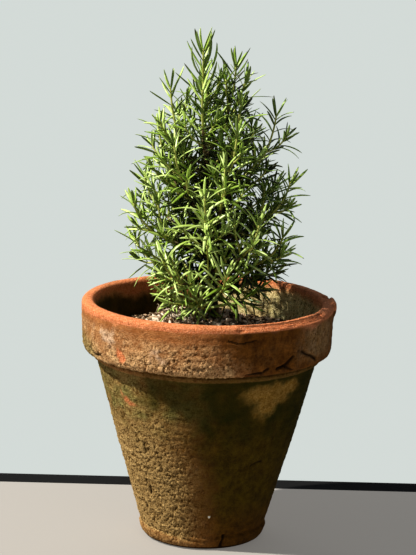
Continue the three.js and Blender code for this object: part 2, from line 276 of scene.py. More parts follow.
def weathered(skin, angle, radius, x, y, z):
    """How far the skin stands out there in mm, and how much there is of each deposit and of painted shade.

    Angles are degrees round the pot and heights mm above the ground, set where the real pot has each stain.
    """
    broad, ragged = cloud(x, y, z, 34.0), cloud(x, y, z, 10.0, 3.1)
    fine, sand = cloud(x, y, z, 4.4, 7.7), cloud(x, y, z, 1.35, 9.4)
    clumps = 0.62 + 0.7 * shade(-0.4, 0.4, cloud(x, y, z, 6.5, 17.0))
    grit = 0.45 * fine + clumps * (0.45 * cloud(x, y, z, 2.9, 4.2) + 1.0 * sand)
    edge = 0.5 * broad + 0.5 * ragged + 0.2 * fine
    toward = turn_between(angle, 226.0) + 9.0 * edge
    further = 10.0 * (1.0 - shade(50.0, 110.0, z))
    left = shade(-62.0, -42.0, toward) * (1.0 - shade(8.0 + further, 54.0 + further, toward))
    right = between(turn_between(angle, 318.0) + 5.0 * edge, -52.0, 58.0, 12.0)
    back = between(turn_between(angle, 100.0) + 22.0 * edge, -82.0, 70.0, 14.0)
    crust = algae = bare = pale = film = damp_and_shade = 0.0
    heavy, lift = 1.0, 0.45 * broad + 0.1 * math.sin(z * 1.05 + 2.0 * broad)
    if skin in (BODY, BEAD):
        # Salts at the front left and the back, algae up under the band, and a dark, damp right side. The
        # right side's
        # dark is partly painted shade: it starts about where the lamp's light falls off.
        high = shade(88.0, 130.0, z + 14.0 * edge)
        # Painted shade up under the band on the right, where the band's shadow falls.
        painted_band_shadow = shade(114.0, 136.0, z + 8.0 * edge) * between(angle + 8.0 * edge, 236.0, 350.0, 9.0)
        crust = max(0.95 * left * (1.0 - 0.5 * high), 0.8 * back * shade(-0.3, 0.3, broad + 0.5 * ragged))
        crust = max(crust, 0.22 + 0.3 * ragged, 0.75 * between(z, 1.0, 9.0, 3.0) * left)
        algae = high * (0.78 + 0.45 * ragged + 0.2 * right)
        algae = max(algae, 0.8 * arc(angle, 338.0, -20.0, 26.0, 8.0) * shade(66.0, 112.0, z))
        pale = 0.75 * spot(angle, z, POT_PALE, 0.4 * ragged + 0.3 * fine, 0.45) * (0.8 + 0.5 * ragged)
        algae *= 1.0 - pale
        # Dark where the skin turns from the lamp and under the band: partly damp, partly painted shade.
        damp_and_shade = max((1.0 - 0.95 * left) * (1.0 - 0.5 * back), 0.8 * painted_band_shadow) * (1.0 - 0.6 * pale)
        crust *= 1.0 - 0.6 * painted_band_shadow
        heavy = 0.5 + 0.5 * max(left, back)
        if skin == BEAD:
            bare, crust, algae, damp_and_shade, heavy = 0.0, 0.4, 0.12, 0.7 * damp_and_shade, 0.4
        # The foot's ring, lower and more worn at the front left, under a rough line.
        ring = 11.0 - 4.5 * between(angle, 252.0, 278.0, 9.0) + 1.3 * ragged + 0.5 * fine
        line = math.exp(-(((z - ring - 0.8) / 1.0) ** 2))
        lift += 0.5 * (1.0 - shade(ring - 0.8, ring + 0.2, z)) - 0.8 * line
        crust *= 1.0 - 0.35 * (1.0 - shade(ring - 1.0, ring, z)) * left
    elif skin == BAND:
        # A tan crust from the left to the front, and ruddy damp clay right of it whose dark is partly painted
        # shade on the side turned from the lamp, and a pale bloom at the left.
        low = 1.0 - shade(163.0, 178.0, z + 5.0 * edge)
        start = 279.0 + 7.0 * low + 8.0 * edge
        right = shade(start - 11.0, start + 11.0, angle) if angle > 180.0 else 1.0 - shade(10.0, 30.0, angle)
        rough = arc(angle, 246.0, -52.0, 38.0, 9.0) + 0.6 * back
        under_lip = shade(187.0, 194.0, z + 6.0 * edge + 4.0 * arc(angle, 250.0, -12.0, 60.0, 12.0))
        crust = (0.62 + 0.45 * low * rough + 0.45 * ragged - 0.35 * right) * (1.0 - 0.7 * under_lip)
        bare = shade(194.0, 201.0, z + 6.0 * edge + 3.0 * arc(angle, 192.0, -20.0, 14.0, 12.0))
        algae = 0.7 * (1.0 - shade(168.0, 184.0, z + 9 * edge)) * arc(angle, 194.0, -22.0, 14.0, 6.0)
        bloom = arc(angle, 219.0, -10.0, 11.0, 5.0) * between(z, 176.0, 190.0, 4.0)
        bloom = max(bloom, arc(angle, 248.5, -3.5, 3.5, 2.0) * between(z, 169.0, 180.0, 2.5))
        salty = arc(angle, 332.0, -14.0, 14.0, 8.0) * between(z, 168.0, 196.0, 8.0)
        pale = 0.75 * bloom * shade(-0.25, 0.4, ragged + 0.6 * fine) + 0.16 * salty * (0.8 + 0.9 * ragged)
        film = 0.12 * salty
        crust = max(crust, 0.7 * salty)
        damp_and_shade = 0.95 * right * (1.0 - 0.5 * min(1.0, bare)) * (1.0 - 0.6 * pale) + 0.1 * back
        heavy = 0.5 + 0.55 * min(1.0, rough) * (0.5 + 0.5 * low)
    elif skin == LIP:
        # Rubbed back to bare clay, darker at the far right.
        bare = 1.0 - 0.3 * shade(0.2, 0.55, ragged) - 0.3 * shade(0.1, 0.5, fine)
        crust, heavy = 0.15, 0.4
        damp_and_shade = 0.62 * arc(angle, 354.0, -28.0, 50.0, 14.0)
    else:
        # The wall inside the mouth: bare under the lip, limy at the back right, else damp with algae.
        rim = shade(191.0, 201.0, z + 6.0 * edge + 8.0 * arc(angle, 122.0, -40.0, 22.0, 12.0))
        lime = between(turn_between(angle, 56.0) + 8.0 * edge, -56.0, 34.0, 7.0)
        bare = 0.6 * rim
        film = (1.0 - 0.85 * rim) * lime * (0.85 + 0.4 * ragged)
        algae = (1.0 - rim) * (0.95 - 0.8 * lime)
        crust, heavy = 0.35 * (1.0 - rim) + 0.3 * lime, 0.5
        damp_and_shade = (1.0 - 0.75 * rim) * (1.0 - lime)
    torn = 0.5 * ragged + 0.5 * fine + 0.25 * sand
    chips = spot(angle, z, BAND_CHIPS, torn) if skin == BAND else 0.0
    stain = 0.6 * spot(angle, z, BODY_CHIPS, torn, 0.5) if skin == BODY else 0.0
    crust, algae, damp_and_shade, pale = (v * (1.0 - max(chips, stain)) for v in (crust, algae, damp_and_shade, pale))
    bare = max(bare, 0.85 * chips, stain)
    crust = min(1.0, max(0.0, crust))
    pit = shade(0.42, 0.58, cloud(x, y, z, 2.7, 12.3)) * (0.15 + 0.85 * crust)
    lift += 0.12 * ragged - 0.7 * chips - 0.7 * pit * heavy + grit * (0.10 + 0.80 * crust * heavy)
    # Painted shade: dark in pits and in the hollows between grains.
    painted_shade = max(0.6 * pit, 0.7 * (0.2 + 0.8 * crust) * shade(0.2, 0.8, -grit))
    for line, deep, half_width in POT_CRACKS:
        if abs(z - line[0][1]) < 22.0 and abs(turn_between(angle, line[0][0])) < 20.0:
            within = groove(angle + 0.5 * fine, z + 0.5 * ragged, radius, line, half_width)
            lift -= deep * within
            # Cracks are painted dark inside, a painted shade in the groove.
            painted_shade, bare = max(painted_shade, 1.2 * shade(0.2, 0.6, within)), bare * (1.0 - within)
    if skin in (BAND, LIP):
        # A strip has broken off the lip's outer edge at the front right, with a painted shadow line along the
        # top of the step it leaves. At the far right a tooth stands up beside a nick, and the lip beyond is
        # worn.
        along = between(turn_between(angle, 309.0) + 4.0 * ragged, -24.0, 26.0, 3.0)
        broken = along * shade(100.9, 101.7, radius + 0.6 * fine)
        broken *= shade(197.4, 198.6, z + 0.9 * ragged + 0.4 * fine)
        # A dark line along the step's top edge, a painted shadow of the step.
        step_shadow = along * math.exp(-(((radius + 0.6 * fine - 100.8) / 0.75) ** 2)) * shade(200.4, 201.2, z)
        outer = shade(186.0, 199.0, z) * shade(97.0, 101.0, radius)
        tooth = arc(angle, 1.0, -6.0, 5.2, 0.6) * shade(101.2, 103.0, radius)
        nick = arc(angle, 10.2, -3.2, 3.0, 0.5)
        lift += outer * (2.3 * tooth - 4.6 * nick - 0.4 * arc(angle, 26.0, -9.0, 8.0, 4.0))
        lift -= 1.9 * broken
        bare = max(bare, broken)
        painted_shade = max(painted_shade * (1.0 - 0.7 * broken), step_shadow)
        damp_and_shade *= 1.0 - 0.8 * broken
    beside_splash = math.radians(turn_between(angle, SPLASH_ANGLE)) * radius
    if math.hypot(beside_splash, z - SPLASH_HEIGHT) < SPLASH_RADIUS:
        pale, crust, damp_and_shade, lift = SPLASH_MARK, 0.0, 0.0, lift + 0.5
    # The foot's lowest edge is smooth, and painted dark where it meets the ground, a painted contact shadow.
    if z < 3.0:
        lift *= z / 3.0
        painted_shade = max(painted_shade, 1.15 * (1.0 - shade(2.2, 3.6, z)))
    return lift, crust, algae, bare, pale, film, damp_and_shade, painted_shade, 0.5 + 0.5 * grit


def roughened(bm):
    """Moves the skin out and in along its normals and keeps the deposits and the painted shade for the
    finish.
    """
    bm.normal_update()
    for key in SKIN_MARKS:
        bm.verts.layers.float.new(key)
    kind = bm.verts.layers.float["skin"]
    layers = {key: bm.verts.layers.float[key] for key in SKIN_MARKS}
    moved = []
    for v in bm.verts:
        x, y, z = v.co / MM
        if round(v[kind]) != UNDER:
            angle = math.degrees(math.atan2(y, x)) % 360.0
            lift, *marks = weathered(round(v[kind]), angle, math.hypot(x, y), x, y, z)
            for key, value in zip(SKIN_MARKS, marks):
                v[layers[key]] = max(0.0, min(SPLASH_MARK if key == "pale" else 1.0, value))
            moved.append((v, v.normal * (lift * MM)))
    for v, step in moved:
        v.co += step
        v.co.z = max(v.co.z, 0.0)


clay = Finish("weathered_terracotta", roughness=0.95, specular=0.08)
speckle = clay.noise(1.15, 3.0, 0.7)
mottle = clay.noise(16.0, 5.0, 0.65)
# Lighter on raised grains and darker in their hollows, a painted shade that follows the relief, with random
# speckle.
light = clay.sum(clay.times(clay.stored("grain_relief_shade"), 0.5), clay.times(speckle, 0.95))
# The band is fired a warmer colour than the body.
on_band = clay.ranged(clay.height, 0.1590, 0.1605)
colour = clay.mottled(mottle, 0.36, 0.64, (0.32, 0.105, 0.028), (0.47, 0.18, 0.055))
salts = clay.mottled(light, 0.525, 0.945, (0.115, 0.074, 0.018), (0.72, 0.52, 0.23))
warm_salts = clay.mottled(light, 0.525, 0.945, (0.21, 0.098, 0.030), (0.97, 0.64, 0.33))
salts = clay.mixed(on_band, salts, warm_salts)
colour = clay.mixed(clay.times(clay.stored("crust"), 0.9), colour, salts)
streaked = clay.noise(7.0, 6.0, 0.75, stretch=(1.0, 1.0, 0.8))
# Dark colour of damp clay, also used as painted shade on the side turned from the lamp and under the band.
wet_and_shaded = clay.mottled(streaked, 0.36, 0.66, (0.030, 0.0225, 0.0010), (0.108, 0.079, 0.0052))
ruddy = clay.mottled(streaked, 0.36, 0.66, (0.064, 0.0250, 0.0022), (0.265, 0.106, 0.0155))
wet_and_shaded = clay.mixed(clay.ranged(clay.height, 0.010, 0.042, 0.35), ruddy, wet_and_shaded)
wet_and_shaded = clay.mixed(on_band, wet_and_shaded, ruddy)
colour = clay.mixed(clay.times(clay.stored("damp_and_shade"), 0.93), colour, wet_and_shaded)
moss = clay.mottled(light, 0.565, 0.905, (0.085, 0.080, 0.016), (0.37, 0.34, 0.125))
dark_moss = clay.mottled(mottle, 0.36, 0.64, (0.023, 0.028, 0.0028), (0.056, 0.046, 0.0050))
moss = clay.mixed(clay.stored("damp_and_shade"), moss, dark_moss)
colour = clay.mixed(clay.times(clay.stored("algae"), 0.85), colour, moss)
worn = clay.mottled(light, 0.565, 0.905, (0.30, 0.170, 0.026), (0.58, 0.36, 0.100))
bloom = clay.mottled(light, 0.565, 0.905, (0.50, 0.32, 0.20), (0.84, 0.60, 0.42))
worn = clay.mixed(on_band, worn, bloom)
worn = clay.mixed(clay.ranged(clay.stored("pale"), 1.5, 2.5), worn, (0.95, 0.95, 0.90))
colour = clay.mixed(clay.stored("pale"), colour, worn)
# A limy film, lighter than its own colour to stand for sun falling on it: partly painted light.
limy_film_and_painted_sun = clay.mottled(light, 0.565, 0.905, (0.44, 0.36, 0.145), (0.88, 0.79, 0.43))
colour = clay.mixed(clay.stored("film"), colour, limy_film_and_painted_sun)
bright = clay.mottled(speckle, 0.36, 0.66, (0.57, 0.148, 0.043), (0.97, 0.42, 0.210))
bright = clay.mixed(clay.times(clay.stored("damp_and_shade"), 0.8), bright, (0.50, 0.235, 0.13))
colour = clay.mixed(clay.stored("bare"), colour, bright)
# Painted shade, near black, in hollows, pits, cracks, along the lip's broken step and at the foot.
colour = clay.mixed(clay.times(clay.stored("painted_shade"), 0.85), colour, (0.022, 0.011, 0.003))
# Dark specks on the crust, painted shade that stands for small pits.
pit_shade_specks = clay.ranged(clay.noise(2.0, 3.0, 0.75), 0.56, 0.65)
pit_shade_specks = clay.times(pit_shade_specks, clay.ranged(clay.stored("crust"), 0.1, 0.8, 0.35))
colour = clay.mixed(clay.times(pit_shade_specks, 0.8), colour, (0.045, 0.023, 0.006))
clay.coloured(colour)
clay.raised(clay.noise(1.1, 2.0, 0.8), 1.0, 1.5)
for name, profile, steps in (("pot_body", BODY_PROFILE, BODY_STEPS), ("pot_band", BAND_PROFILE, BAND_STEPS)):
    part = turned(finer(profile), steps, closed=True)
    roughened(part)
    finished(name, part, [clay.material], ["pot"])


# The potting mix: bark, peat and grit heaped round the root ball left of the middle, dry on top. A bed with a
# lumpy surface, sunk into the pot's wall, with loose crumbs of three kinds on it.
MIX_EDGE_HEIGHT = 172.0
MOUND_HEIGHT = 187.0
MOUND_MIDDLE = (-8.0, 4.0)
MOUND_FLAT_RADIUS = 24.0
MOUND_RADIUS = 58.0
BED_EDGE = 87.4
CRUMBS = 3300


def mix_height(x, y):
    fall = shade(MOUND_FLAT_RADIUS, MOUND_RADIUS, math.hypot(x - MOUND_MIDDLE[0], y - MOUND_MIDDLE[1]))
    smooth = MOUND_HEIGHT + (MIX_EDGE_HEIGHT - MOUND_HEIGHT) * fall
    return smooth + 1.8 * cloud(x, y, 0.0, 17.0, 5.0) + 1.3 * cloud(x, y, 0.0, 6.0, 2.0)


def random_run(seed):
    state = seed

    def following():
        nonlocal state
        state = (state * 1664525 + 1013904223) % 4294967296
        return state / 4294967296

    return following


def joined_mesh(name, points, faces, kinds=None):
    """One mesh from arrays of points in mm and of faces."""
    mesh = bpy.data.meshes.new(name)
    mesh.from_pydata((np.asarray(points) * MM).tolist(), [], faces)
    if kinds is not None:
        mesh.polygons.foreach_set("material_index", kinds)
    mesh.update()
    return mesh


bed = turned([(0.0, 12.0, 0), (41.0, 12.0, 0), (BED_EDGE, 168.0, 0)]
             + [(BED_EDGE * i / 96, 172.0, 1) for i in range(96, -1, -1)], 320, closed=False)
top_of = bed.verts.layers.float["skin"]
for v in bed.verts:
    if v[top_of] > 0.5:
        x, y = v.co.x / MM, v.co.y / MM
        v.co.z = (mix_height(x, y) + 1.1 * cloud(x, y, 0.0, 2.9, 6.0) - 0.4) * MM

peat = Finish("potting_mix_bed", roughness=1.0, specular=0.1)
colour = peat.mottled(peat.noise(2.6, 5.0, 0.75), 0.42, 0.64, (0.040, 0.026, 0.013), (0.56, 0.43, 0.290))
peat.coloured(colour)
peat.raised(peat.noise(2.0, 4.0, 0.75), 0.9, 1.4)
finished("potting_mix_bed", bed, [peat.material], ["potting_mix"])

crumb = bmesh.new()
bmesh.ops.create_icosphere(crumb, subdivisions=1, radius=1.0)
crumb_points = np.array([v.co for v in crumb.verts])
crumb_faces = [[v.index for v in f.verts] for f in crumb.faces]
crumb.free()
crumb_kinds = {
    "pale_grit": ((0.64, 0.51, 0.38), (0.90, 0.77, 0.62), [], []),
    "bark_crumbs": ((0.050, 0.026, 0.011), (0.15, 0.085, 0.040), [], []),
    "dry_peat": ((0.32, 0.22, 0.13), (0.62, 0.45, 0.30), [], []),
}
random = random_run(51)
for i in range(CRUMBS):
    reach = (BED_EDGE - 3.0) * math.sqrt(random())
    around = 2 * math.pi * random()
    x, y = reach * math.cos(around), reach * math.sin(around)
    near = 1.0 - shade(30.0, 70.0, math.hypot(x - MOUND_MIDDLE[0], y - MOUND_MIDDLE[1]))
    kind = "pale_grit" if random() < 0.22 + 0.28 * near else "bark_crumbs" if random() < 0.55 else "dry_peat"
    size = 0.65 + 0.5 * random() + (0.9 + 1.3 * near) * random() ** 3
    turn = Matrix.Rotation(6.28 * random(), 3, "Z") @ Matrix.Rotation(1.6 * random() - 0.8, 3, "X")
    form = np.array([1.0 + 1.0 * random() ** 2, 1.0, 0.5 + 0.4 * random()]) * size
    bumps = np.array([0.55 + 0.75 * random() for _ in range(len(crumb_points))])[:, None]
    _, _, points, faces = crumb_kinds[kind]
    faces += [[k + len(points) * len(crumb_points) for k in f] for f in crumb_faces]
    points.append(crumb_points * bumps * form @ np.array(turn).T + (x, y, mix_height(x, y) + 0.3 * size))
for name, (dark, light, points, faces) in crumb_kinds.items():
    finish = Finish(name, roughness=0.97, specular=0.12)
    finish.coloured(finish.mottled(finish.noise(3.6), 0.38, 0.62, dark, light))
    finish.raised(finish.noise(1.2), 0.6, 0.5)
    crumbs = joined_mesh(name, np.concatenate(points), faces)
    placed(name, crumbs, [finish.material], ["potting_mix"])


# Dead root threads: fine old roots that came up with the mix and dried to stiff brown wire. They stick up out
# of it at its left. Thin closed tubes, each bent its own way.
THREADS = 16


class Path:
    """A curve through three points, walked by the share of its length."""

    def __init__(self, start, knee, end, steps=48):
        t = np.linspace(0.0, 1.0, steps + 1)[:, None]
        start, knee, end = np.array(start), np.array(knee), np.array(end)
        self.points = (1 - t) ** 2 * start + 2 * t * (1 - t) * knee + t * t * end
        self.finish()

    def finish(self):
        self.walked = np.concatenate([[0.0], np.cumsum(np.linalg.norm(np.diff(self.points, axis=0), axis=1))])
        self.length = self.walked[-1]

    def at(self, share):
        return Vector([np.interp(share * self.length, self.walked, self.points[:, k]) for k in range(3)])

    def along(self, share):
        return (self.at(min(1.0, share + 0.02)) - self.at(max(0.0, share - 0.02))).normalized()

    def part(self, low, high, steps=24):
        piece = object.__new__(Path)
        piece.points = np.array([self.at(low + (high - low) * i / steps) for i in range(steps + 1)])
        piece.finish()
        return piece


def tube(points, faces, path, root_radius, tip_radius, sides, step):
    """Adds a closed tube along a path, and says how many rings of faces it has."""
    count = max(4, round(path.length / step))
    first = len(points)
    across = path.along(0.0).orthogonal().normalized()
    for i in range(count + 1):
        share = i / count
        ahead, middle = path.along(share), path.at(share)
        across = (across - ahead * across.dot(ahead)).normalized()
        beside = ahead.cross(across)
        radius = root_radius + (tip_radius - root_radius) * share
        for k in range(sides):
            turn = 2 * math.pi * k / sides
            points.append(middle + (across * math.cos(turn) + beside * math.sin(turn)) * radius)
    for i in range(count):
        for k in range(sides):
            a, b = first + i * sides + k, first + i * sides + (k + 1) % sides
            faces.append((a, b, b + sides, a + sides))
    faces.append([first + k for k in reversed(range(sides))])
    faces.append([first + count * sides + k for k in range(sides)])
    return count


threads, thread_faces = [], []
for i in range(THREADS):
    around, reach = math.radians(150.0 + 125.0 * random()), 20.0 + 22.0 * random()
    x, y = MOUND_MIDDLE[0] + reach * math.cos(around), MOUND_MIDDLE[1] + reach * math.sin(around)
    start = Vector((x, y, mix_height(x, y) - 0.5))
    swing = Vector((random() - 0.6, random() - 0.5, 0.0)) * 15.0
    knee = start + swing + Vector((0, 0, 6.0 + 16.0 * random()))
    end = start + swing * 2.0 + Vector((0, 0, 12.0 * random()))
    tube(threads, thread_faces, Path(start, knee, end, 14), 0.34, 0.22, 5, 2.0)
thread = Finish("dead_roots", roughness=0.9, specular=0.15)
colour = thread.mottled(thread.noise(5.0), 0.4, 0.6, (0.17, 0.12, 0.075), (0.46, 0.38, 0.27))
thread.coloured(colour)
threads = joined_mesh("root_threads", threads, thread_faces)
placed("root_threads", threads, [thread.material], ["potting_mix"])


# The woody parts: the main stem, leaning a little left, with a flared foot, and one bare bough under each
# leafy shoot. Thin grey-brown bark, cracked lengthwise, on tapering limbs that run into each other.
STEM_FOOT = Vector((5.0, 0.0, 187.3))
STEM_BEND = Vector((2.0, -1.0, 270.0))
STEM_TIP = Vector((-6.0, 2.0, 338.0))
STEM_RADIUS = 3.6
STEM_TIP_RADIUS = 1.3
FLARE = 0.75
FLARE_HEIGHT = 9.0
BOUGH_SHARE = 0.24
BOUGH_RADIUS = 1.7
TWIG_RADIUS = 1.4
# Each side shoot: direction in degrees, height of its foot, reach, and height of its growing tip.
SHOOTS = [
    (20, 322, 24, 396), (256, 314, 22, 378), (326, 300, 30, 368), (100, 310, 26, 384), (182, 298, 33, 378),
    (6, 278, 53, 357), (300, 284, 42, 346), (166, 268, 46, 344), (128, 286, 44, 352), (62, 280, 46, 346),
    (226, 272, 44, 336), (282, 256, 48, 320), (350, 248, 64, 304), (154, 246, 64, 300), (96, 252, 58, 308),
    (263, 238, 58, 298), (193, 238, 67, 284), (34, 240, 62, 294), (306, 226, 62, 276), (124, 230, 64, 276),
    (176, 212, 66, 252), (336, 220, 62, 262), (72, 218, 64, 262), (228, 208, 62, 244), (12, 206, 58, 240),
    (280, 205, 56, 234), (250, 193, 44, 212), (120, 200, 58, 236),
]
FOLIAGE = ["leader_foliage"] + [f"foliage_{i + 1:02d}" for i in range(len(SHOOTS))]
BOUGHS = [f"bough_{i + 1:02d}" for i in range(len(SHOOTS))]


def stem_radius(share):
    height = share * (STEM_TIP.z - STEM_FOOT.z)
    flare = 1.0 + FLARE * math.exp(-height / (FLARE_HEIGHT * 0.4))
    return (STEM_RADIUS + (STEM_TIP_RADIUS - STEM_RADIUS) * share) * flare


def stem_point(height):
    share = (height - STEM_FOOT.z) / (STEM_TIP.z - STEM_FOOT.z)
    return (1 - share) ** 2 * STEM_FOOT + 2 * share * (1 - share) * STEM_BEND + share * share * STEM_TIP


def shoot_path(direction, foot, reach, top):
    outward = Vector((math.cos(math.radians(direction)), math.sin(math.radians(direction)), 0.0))
    start = stem_point(foot)
    tip = start + outward * reach
    tip.z = top
    knee = start + outward * (reach * 0.88)
    knee.z = foot + (top - foot) * 0.3
    return Path(start, knee, tip)


def limb(bm, path, radius_of, sides, step, relief):
    """Adds a closed limb to a bmesh: a ring is drawn, then drawn on along the path."""
    count = max(3, round(path.length / step))
    across = path.along(0.0).orthogonal().normalized()
    drawn = bmesh.ops.create_circle(bm, cap_ends=True, segments=sides, radius=1.0)["verts"]
    ring = drawn
    for i in range(count + 1):
        share = i / count
        ahead, middle = path.along(share), path.at(share)
        across = (across - ahead * across.dot(ahead)).normalized()
        beside = ahead.cross(across)
        if i:
            edges = {e for v in ring for e in v.link_edges if e.other_vert(v) in ring}
            new = bmesh.ops.extrude_edge_only(bm, edges=list(edges))["geom"]
            heads = [g for g in new if isinstance(g, bmesh.types.BMVert)]
            order = {}
            for head in heads:
                for e in head.link_edges:
                    if e.other_vert(head) in ring:
                        order[e.other_vert(head)] = head
            ring = [order[v] for v in ring]
        for k, v in enumerate(ring):
            turn = 2 * math.pi * k / sides
            point = middle + (across * math.cos(turn) + beside * math.sin(turn)) * radius_of(share)
            lift = relief(point, turn, share)
            v.co = (middle + (point - middle) * (1.0 + lift)) * MM
    bm.faces.new(ring)


def bark_relief(point, turn, share):
    cracked = noise.noise(Vector((math.cos(turn) * 2.6, math.sin(turn) * 2.6, point.z / 9.0)))
    knots = max(0.0, cloud(point.x, point.y, point.z, 7.0, 9.0))
    return 0.16 * cracked + 0.22 * knots + 0.05 * cloud(point.x, point.y, point.z, 1.2)


def bough_radius(share):
    return BOUGH_RADIUS + (TWIG_RADIUS - BOUGH_RADIUS) * share + 0.5 * math.exp(-9.0 * share)


wood = bmesh.new()
limb(wood, Path(STEM_FOOT, STEM_BEND, STEM_TIP), stem_radius, 18, 1.2, bark_relief)
bmesh.ops.recalc_face_normals(wood, faces=wood.faces)
bark = Finish("grey_brown_bark", roughness=0.9, specular=0.2)
streaks = bark.noise(2.2, 4.0, 0.65, stretch=(1.0, 1.0, 0.22))
colour = bark.mottled(streaks, 0.36, 0.64, (0.11, 0.070, 0.035), (0.38, 0.27, 0.15))
colour = bark.mixed(bark.ranged(bark.noise(9.0), 0.5, 0.7), colour, (0.26, 0.21, 0.12))
bark.coloured(colour)
bark.raised(streaks, 0.7, 0.5)
finished("stem_bark", wood, [bark.material], ["main_stem"])

limbs = bmesh.new()
for shoot in SHOOTS:
    limb(limbs, shoot_path(*shoot).part(0.0, BOUGH_SHARE), bough_radius, 10, 1.5, bark_relief)
bmesh.ops.recalc_face_normals(limbs, faces=limbs.faces)
finished("bough_bark", limbs, [bark.material], BOUGHS)


# The leafy shoots: green twigs that carry narrow leathery leaves in pairs, each pair square to the last, with
# short tufts in the axils of the older ones. They go on from the boughs by the same rule as the solids, with
# more side twigs, in the real sizes. Leaves are one closed skin each, rolled under at their edges.
LEADER_BEND = Vector((-8.5, 2.0, 372.0))
LEADER_TOP = Vector((-9.0, 0.0, 409.0))
SEED = 7
SIDE_TWIG_PLACES = (0.05, 0.2, 0.36, 0.55)
SIDE_TWIG_SHARE = 0.58
LONGEST_SIDE_TWIG = 32.0
SUNNY_SHOOTS = (263, 306)
INNER_TWIGS = 48
BUD_INTERNODE = 2.0
INTERNODE_GROWTH = 1.45
LONGEST_INTERNODE = 7.6
LEAF_LENGTH = 29.0
LEAF_WIDTH = 2.6
# A leaf opens most of its way within this many mm of the growing tip.
OPENING = 8.0
# How far a leaf's root (lean) and tip (curl) stand off the twig's line, in degrees: in the bud, and what is
# added by opening and on an upright shoot.
BUD_LEAN, OPEN_LEAN, UPRIGHT_LEAN = 18.0, 28.0, 8.0
BUD_CURL, OPEN_CURL, UPRIGHT_CURL = 22.0, 78.0, -76.0
LEAF_STATIONS = np.array([0.0, 0.1, 0.25, 0.45, 0.65, 0.82, 0.94, 1.0])
LEAF_OUTLINE = np.array([0.38, 0.68, 0.92, 1.0, 0.95, 0.76, 0.46, 0.08])
# Across a leaf: its two rolled edges, the rounded top with its groove, and the rib below.
LEAF_SECTION = np.array([(-1.0, -0.5), (-0.6, -0.02), (0.0, -0.16), (0.6, -0.02), (1.0, -0.5), (0.0, -0.42)])
# Leaf tones from light to dark. A leaf's tone comes from its age and a random tone, and also from painted
# light and shade for where its shoot stands, so these are partly lit and shaded copies of one leaf colour.
YOUNG_AND_LIT, GROWN_HALF_LIT, OLDER_AND_SHADED, DULL = range(4)
LEAVES_A_PIECE = 2000

# Each twig: path, root radius, tip radius, and how far up it is brown wood.
twigs = []
leaves = {YOUNG_AND_LIT: [], GROWN_HALF_LIT: [], OLDER_AND_SHADED: [], DULL: []}


def leaf_on(root, ahead, outward, length, width, lean, curl, tone, random):
    """Keeps what one leaf is made from. It leaves the twig at lean and ends at curl, off the twig's line."""
    bend, twist = 1.5 * (random() - 0.5), 0.9 * (random() - 0.5)
    leaves[tone].append((root, ahead, outward, length, width, lean, curl, bend, twist))


def tone_of(light):
    return YOUNG_AND_LIT if light > 0.64 else GROWN_HALF_LIT if light > 0.36 else OLDER_AND_SHADED if light > 0.12 else DULL


def grow(path, random, vigour, brightness, root_radius=TWIG_RADIUS, woody=0.0,
         spread=0.0, upright=0.0, tufts=0.28):
    """Leaves in pairs along a twig. vigour sets their length, brightness how light the shoot is, with painted
    light and shade for where it stands.
    """
    twigs.append((path, root_radius, 0.75, woody))
    turn = 6.28 * random()
    across = path.along(1.0).orthogonal().normalized()
    from_tip, step = 0.4, BUD_INTERNODE
    while from_tip < path.length * 0.98:
        share = 1.0 - from_tip / path.length
        ahead, point = path.along(share), path.at(share)
        across = (across - ahead * across.dot(ahead)).normalized()
        beside = ahead.cross(across)
        age = 1.0 - math.exp(-from_tip / OPENING)
        for half in (0, 1):
            out_turn = turn + half * math.pi + 0.45 * (random() - 0.5)
            outward = across * math.cos(out_turn) + beside * math.sin(out_turn)
            length = LEAF_LENGTH * vigour * (0.48 + 0.12 * upright + 0.5 * age) * (0.80 + 0.34 * random())
            lean = BUD_LEAN + (OPEN_LEAN + spread + UPRIGHT_LEAN * upright) * age
            lean = math.radians(lean + 20.0 * age * (random() - 0.5))
            curl = BUD_CURL + (OPEN_CURL + spread + UPRIGHT_CURL * upright) * age
            curl = math.radians(curl + (16.0 + 44.0 * age) * (random() - 0.5))
            # Painted shade: leaves near the stem, below the crown's top, take darker tones.
            inner_shade = 1.0 - shade(12.0, 36.0, math.hypot(point.x, point.y))
            inner_shade *= 1.0 - shade(316.0, 346.0, point.z)
            tone = tone_of(brightness + 0.3 * (1.0 - age) + 0.46 * (random() - 0.5) - 0.34 * inner_shade)
            width = LEAF_WIDTH * (0.78 + 0.3 * random()) * (0.72 + 0.28 * vigour)
            leaf_on(point, ahead, outward, length, width, lean, curl, tone, random)
            if from_tip > 14.0 and random() < tufts:
                for _ in range(2):
                    tuft = outward + beside * (1.6 * random() - 0.8) + across * (1.6 * random() - 0.8)
                    tuft = (tuft - ahead * tuft.dot(ahead)).normalized()
                    leaf_on(point, ahead, tuft, length * (0.28 + 0.3 * random()), width * 0.72,
                            math.radians(16 + 24 * random()), math.radians(30 + 40 * random()), tone, random)
        turn += math.pi / 2
        from_tip += step
        step = min(step * INTERNODE_GROWTH, LONGEST_INTERNODE)


def side_twig(twig, place, turn, length, lift):
    start, ahead = twig.at(place), twig.along(place)
    sideways = ahead.cross(Vector((0, 0, 1))).normalized()
    sideways = Matrix.Rotation(turn, 3, ahead) @ sideways
    heading = (ahead * 0.66 + sideways * 0.75).normalized()
    knee = start + heading * (length * 0.5)
    return Path(start, knee, knee + heading * (length * 0.28) + Vector((0, 0, length * lift)), 20)


def basal_twig(direction, height, reach, top):
    """A short twig straight off the stem, which rises or sinks to its tip."""
    outward = Vector((math.cos(direction), math.sin(direction), 0.0))
    start = stem_point(height)
    knee = start + outward * (reach * 0.65) + Vector((0, 0, 0.25 * (top - height)))
    tip = start + outward * reach
    tip.z = top
    return Path(start, knee, tip, 20)


